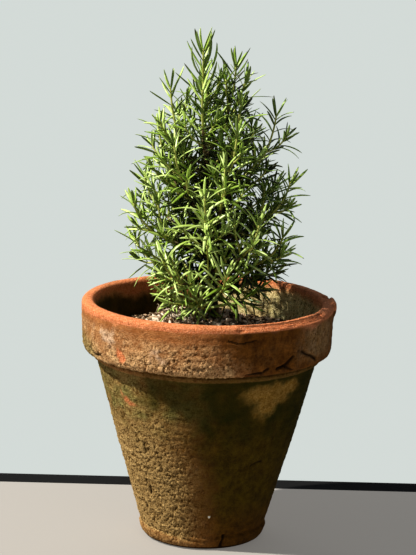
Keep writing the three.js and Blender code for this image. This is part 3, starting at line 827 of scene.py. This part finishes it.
leader = Path(STEM_TIP, LEADER_BEND, LEADER_TOP)
grow(leader, random_run(SEED), 1.0, 0.36, upright=1.0, tufts=0.5)
for k, (place, turn) in enumerate([(0.04, 5.0), (0.18, 5.9), (0.32, 4.2)]):
    grow(side_twig(leader, place, turn, 24.0, 0.5), random_run(SEED + 400 + k), 0.85, 0.4, 0.85)
grow(basal_twig(0.0, 328.0, 31.0, 384.0), random_run(SEED + 410), 0.9, 0.36, 1.0, upright=0.5)
for i, shoot in enumerate(SHOOTS):
    random = random_run(SEED + (i + 1) * 31)
    main = shoot_path(*shoot).part(BOUGH_SHARE, 1.0)
    # Painted light: shoots turned toward the lamp on the left, and the sunny ones, take lighter tones.
    facing_left = -math.cos(math.radians(shoot[0] - 20.0))
    brightness = 0.30 + 0.27 * facing_left + 0.36 * random() + (0.25 if shoot[0] in SUNNY_SHOOTS else 0.0)
    grow(main, random, 1.0, brightness + 0.1, woody=0.35, upright=0.3 if shoot[1] >= 298 else 0.0)
    # The topmost shoots and the rear ones branch less, and the low ones in the front's shade not at all;
    # those low ones also take darker tones, a painted shade.
    low = shoot[1] < 212 and 240 < shoot[0] < 300
    brightness -= 0.2 if low else 0.0
    places = SIDE_TWIG_PLACES[:0 if low else 3 if shoot[1] >= 298 else 2 if 75 < shoot[0] < 150 else 4]
    for k, place in enumerate(places):
        length = min(LONGEST_SIDE_TWIG, main.length * SIDE_TWIG_SHARE * (1.0 - 0.8 * place))
        length *= 0.75 + 0.4 * random()
        twig = side_twig(main, place, k * 2.4 + 0.8 * random(), length, 0.36)
        grow(twig, random, 0.82, brightness - 0.24 + 0.3 * random(), 0.85)
# Short twigs all round the stem, in dark tones that paint the shade inside the crown.
for i in range(INNER_TWIGS):
    random = random_run(900 + i * 17)
    height = 206.0 + 110.0 * i / INNER_TWIGS
    reach = 15.0 + 18.0 * random()
    path = basal_twig(i * 2.4, height, reach, height + 12.0 + 14.0 * random())
    grow(path, random, 0.78, -0.04, 0.8, woody=0.6, spread=10.0)
# Low twigs at the front and left, whose leaves hang down to the mix in pale tones of painted light, one
# upright in front of the stem, dark ones low on the right in tones of painted shade, and more that fill the
# crown's two
# sides. Each: direction in degrees, height of its root, reach, height of its tip, and brightness.
FILLING_TWIGS = [
    (186, 206, 44, 217, 0.7), (204, 199, 45, 209, 0.75), (221, 198, 49, 204, 0.8), (239, 196, 38, 201, 0.75),
    (262, 200, 46, 256, 0.7), (304, 202, 48, 212, 0.15), (326, 206, 48, 218, 0.1), (196, 216, 56, 244, 0.55),
    (185, 262, 50, 296, 0.5), (201, 285, 43, 320, 0.55), (174, 236, 58, 270, 0.45), (350, 262, 49, 296, 0.25),
    (335, 285, 42, 322, 0.3), (8, 246, 52, 278, 0.25),
]
for i, (direction, height, reach, top, brightness) in enumerate(FILLING_TWIGS):
    path = basal_twig(math.radians(direction), height, reach, top)
    random = random_run(700 + i * 23)
    vigour, spread = 0.85 if i < 5 else 0.95, 10.0 if top < 225 else 0.0
    grow(path, random, vigour, brightness, 0.9, spread=spread, tufts=0.12)


STALK_SIDES = 6
stalk_points, stalk_faces, stalk_kinds = [], [], []
for path, root_radius, tip_radius, woody in twigs:
    count = tube(stalk_points, stalk_faces, path, root_radius, tip_radius, STALK_SIDES, 2.5)
    stalk_kinds += [1 if i / count < woody else 0 for i in range(count) for _ in range(STALK_SIDES)]
    stalk_kinds += [1 if woody else 0, 0]
green_wood = Finish("green_twig_skin", roughness=0.6, specular=0.3)
colour = green_wood.mottled(green_wood.noise(12.0), 0.4, 0.6, (0.33, 0.36, 0.075), (0.55, 0.56, 0.17))
green_wood.coloured(colour)
green_wood.raised(green_wood.noise(0.9), 0.3, 0.2)
stalks = joined_mesh("twig_skins", stalk_points, stalk_faces, stalk_kinds)
placed("twig_skins", stalks, [green_wood.material, bark.material], FOLIAGE)


def leaf_mesh(name, kept, tip_from):
    """Some leaves as one mesh. The faces between the edges and the rib are their undersides."""
    root, ahead, outward = (np.array([leaf[k] for leaf in kept]) for k in range(3))
    measures = (np.array([leaf[k] for leaf in kept])[:, None] for k in range(3, 9))
    length, width, lean, curl, bend, twist = measures
    t = LEAF_STATIONS[None, :]
    middle = (t[:, 1:] + t[:, :-1]) / 2
    angle = lean + (curl - lean) * middle
    steps = np.diff(LEAF_STATIONS)[None, :] * length
    forward = np.concatenate([np.zeros_like(length), np.cumsum(np.cos(angle) * steps, axis=1)], axis=1)
    out = np.concatenate([np.zeros_like(length), np.cumsum(np.sin(angle) * steps, axis=1)], axis=1)
    side = np.cross(ahead, outward)
    lean_here = lean + (curl - lean) * t
    centre = root[:, None] + forward[..., None] * ahead[:, None] + out[..., None] * outward[:, None]
    centre = centre + (0.22 * bend * length * t ** 2)[..., None] * side[:, None]
    face = np.sin(lean_here)[..., None] * ahead[:, None] - np.cos(lean_here)[..., None] * outward[:, None]
    roll = twist * t
    across = np.cos(roll)[..., None] * side[:, None] + np.sin(roll)[..., None] * face
    above = np.cos(roll)[..., None] * face - np.sin(roll)[..., None] * side[:, None]
    half = (width * LEAF_OUTLINE[None, :] / 2)[..., None, None]
    u, v = LEAF_SECTION[:, 0][None, None, :, None], LEAF_SECTION[:, 1][None, None, :, None]
    points = centre[:, :, None] + half * (across[:, :, None] * u + above[:, :, None] * v)
    rings, sides = len(LEAF_STATIONS), len(LEAF_SECTION)
    one, kinds = [], []
    for i in range(rings - 1):
        for k in range(sides):
            a, b = i * sides + k, i * sides + (k + 1) % sides
            one.append((a, b, b + sides, a + sides))
            kinds.append(1 if k >= 4 else 2 if LEAF_STATIONS[i] > tip_from else 0)
    one += [tuple(reversed(range(sides))), tuple(range((rings - 1) * sides, rings * sides))]
    kinds += [1, 0]
    faces = [tuple(n * rings * sides + k for k in f) for n in range(len(kept)) for f in one]
    return joined_mesh(name, points.reshape(-1, 3), faces, kinds * len(kept))


# Lit and shaded copies of the leaf colour; the darkest is painted shade for the crown's inside.
LEAF_TONES = {
    YOUNG_AND_LIT: ("leaves_young_and_lit", (0.36, 0.505, 0.092), (0.62, 0.77, 0.275)),
    GROWN_HALF_LIT: ("leaves_grown_half_lit", (0.205, 0.330, 0.032), (0.37, 0.520, 0.100)),
    OLDER_AND_SHADED: ("leaves_older_and_shaded", (0.072, 0.132, 0.010), (0.145, 0.225, 0.023)),
    DULL: ("leaves_shaded", (0.010, 0.021, 0.002), (0.026, 0.043, 0.006)),
}
LEAF_TIP_FROM = {YOUNG_AND_LIT: 1.0, GROWN_HALF_LIT: 0.9, OLDER_AND_SHADED: 0.8, DULL: 0.6}
tip = Finish("leaf_tip", roughness=0.6, specular=0.3)
colour = tip.mottled(tip.noise(6.0), 0.4, 0.6, (0.030, 0.036, 0.010), (0.075, 0.085, 0.024))
tip.coloured(colour)
below = Finish("leaf_underside", roughness=0.85, specular=0.15)
colour = below.mottled(below.noise(9.0), 0.4, 0.6, (0.13, 0.20, 0.050), (0.22, 0.29, 0.090))
below.coloured(colour)
for tone, (name, dark, light) in LEAF_TONES.items():
    finish = Finish(name, roughness=0.34, specular=0.5)
    finish.coloured(finish.mottled(finish.noise(8.0), 0.38, 0.62, dark, light))
    for first in range(0, len(leaves[tone]), LEAVES_A_PIECE):
        piece = f"{name}_{first // LEAVES_A_PIECE + 1}"
        mesh = leaf_mesh(piece, leaves[tone][first:first + LEAVES_A_PIECE], LEAF_TIP_FROM[tone])
        placed(piece, mesh, [finish.material, below.material, tip.material], FOLIAGE)


# The room: a pale floor that glows a little and ends in a black strip just behind the pot, a painted shadow
# for the gap at a wall's foot, even pale air beyond it, one soft lamp high on the left, weak wide ones in
# front and behind, and the camera where the photograph was taken from.
FLOOR_HALF_WIDTH = 3.0
# Metres towards the back: the floor's near edge, its far edge, and the far edge of the painted shadow strip.
FLOOR_LINES = (-3.0, 0.124, 0.150)
stage = bmesh.new()
profile = [stage.verts.new((-FLOOR_HALF_WIDTH, y, -0.0001)) for y in FLOOR_LINES]
edges = [stage.edges.new(pair) for pair in zip(profile, profile[1:])]
drawn = bmesh.ops.extrude_edge_only(stage, edges=edges)["geom"]
far_side = [g for g in drawn if isinstance(g, bmesh.types.BMVert)]
bmesh.ops.translate(stage, vec=(2 * FLOOR_HALF_WIDTH, 0, 0), verts=far_side)
bmesh.ops.recalc_face_normals(stage, faces=stage.faces)
for f in stage.faces:
    f.material_index = 0 if f.calc_center_median().y < 0 else 1
mesh = bpy.data.meshes.new("studio_floor")
stage.to_mesh(mesh)
stage.free()
# The black strip is painted shadow for a gap where a wall would stand.
FLOOR_FINISHES = (("floor_paper", (0.27, 0.255, 0.234), 0.52), ("floor_shadow_gap", (0.010, 0.010, 0.010), 0.0))
for name, tint, glow in FLOOR_FINISHES:
    paper = Finish(name, roughness=0.95, specular=0.1)
    paper.shader.inputs["Base Color"].default_value = (*tint, 1.0)
    paper.shader.inputs["Emission Color"].default_value = (*tint, 1.0)
    # Painted light: the floor glows, which lifts the shadows on it and lights the pot a little from below.
    paper.shader.inputs["Emission Strength"].default_value = glow
    mesh.materials.append(paper.material)
floor = bpy.data.objects.new("studio_floor", mesh)
bpy.context.scene.collection.objects.link(floor)


def lamp(name, direction, height, distance, size, power, tint):
    """An area lamp that looks at the middle of the plant, from degrees round it and degrees up."""
    aim = Vector((0.0, 0.0, 0.22))
    around, up = math.radians(direction), math.radians(height)
    away = Vector((math.cos(around) * math.cos(up), math.sin(around) * math.cos(up), math.sin(up)))
    light = bpy.data.lights.new(name, "AREA")
    light.shape, light.size, light.energy, light.color = "DISK", size, power, tint
    thing = bpy.data.objects.new(name, light)
    thing.location = aim + away * distance
    thing.rotation_euler = away.to_track_quat("Z", "Y").to_euler()
    thing.visible_camera = False
    bpy.context.scene.collection.objects.link(thing)


lamp("key_lamp", 195.5, 50.2, 8.0, 0.22, 1060.0, (1.0, 0.96, 0.89))
lamp("fill_lamp", 290.0, 35.0, 2.6, 1.6, 3.5, (0.88, 0.94, 1.0))
lamp("back_lamp", 90.0, 25.0, 1.3, 1.8, 5.0, (0.93, 0.97, 1.0))
world = bpy.data.worlds.new("studio_air")
world.use_nodes = True
air = world.node_tree
seen = air.nodes["Background"]
seen.inputs["Color"].default_value = (0.565, 0.605, 0.586, 1.0)
shining = air.nodes.new("ShaderNodeBackground")
shining.inputs["Color"].default_value = (0.80, 0.88, 1.0, 1.0)
shining.inputs["Strength"].default_value = 0.145
either = air.nodes.new("ShaderNodeMixShader")
air.links.new(air.nodes.new("ShaderNodeLightPath").outputs["Is Camera Ray"], either.inputs["Fac"])
air.links.new(shining.outputs["Background"], either.inputs[1])
air.links.new(seen.outputs["Background"], either.inputs[2])
air.links.new(either.outputs["Shader"], air.nodes["World Output"].inputs["Surface"])
bpy.context.scene.world = world
bpy.context.scene.view_settings.view_transform = "Standard"
bpy.context.scene.view_settings.look = "Medium High Contrast"

# The camera of the photograph, which is 416 by 555 pixels: focal length in pixels, place in metres, tilt down
# and roll in radians.
PHOTO_HEIGHT = 555.0
FOCAL_PIXELS = 2074.48
FILM_HEIGHT, FILM_WIDTH = 36.0, 27.0
CAMERA_X, CAMERA_Y, CAMERA_Z = -0.00054, -1.6870, 0.5679
PITCH, ROLL = 0.2034, 0.0254
forward = Vector((0.0, math.cos(PITCH), -math.sin(PITCH)))
upward = Vector((0.0, math.sin(PITCH), math.cos(PITCH)))
rightward = Vector((1.0, 0.0, 0.0))
right = rightward * math.cos(ROLL) + upward * math.sin(ROLL)
up = upward * math.cos(ROLL) - rightward * math.sin(ROLL)
lens = bpy.data.cameras.new("photo_camera")
lens.sensor_fit, lens.sensor_height, lens.sensor_width = "VERTICAL", FILM_HEIGHT, FILM_WIDTH
lens.lens = FILM_HEIGHT * FOCAL_PIXELS / PHOTO_HEIGHT
camera = bpy.data.objects.new("photo_camera", lens)
camera.matrix_world = Matrix((
    (right.x, up.x, -forward.x, CAMERA_X),
    (right.y, up.y, -forward.y, CAMERA_Y),
    (right.z, up.z, -forward.z, CAMERA_Z),
    (0.0, 0.0, 0.0, 1.0),
))
bpy.context.scene.collection.objects.link(camera)
bpy.context.scene.camera = camera
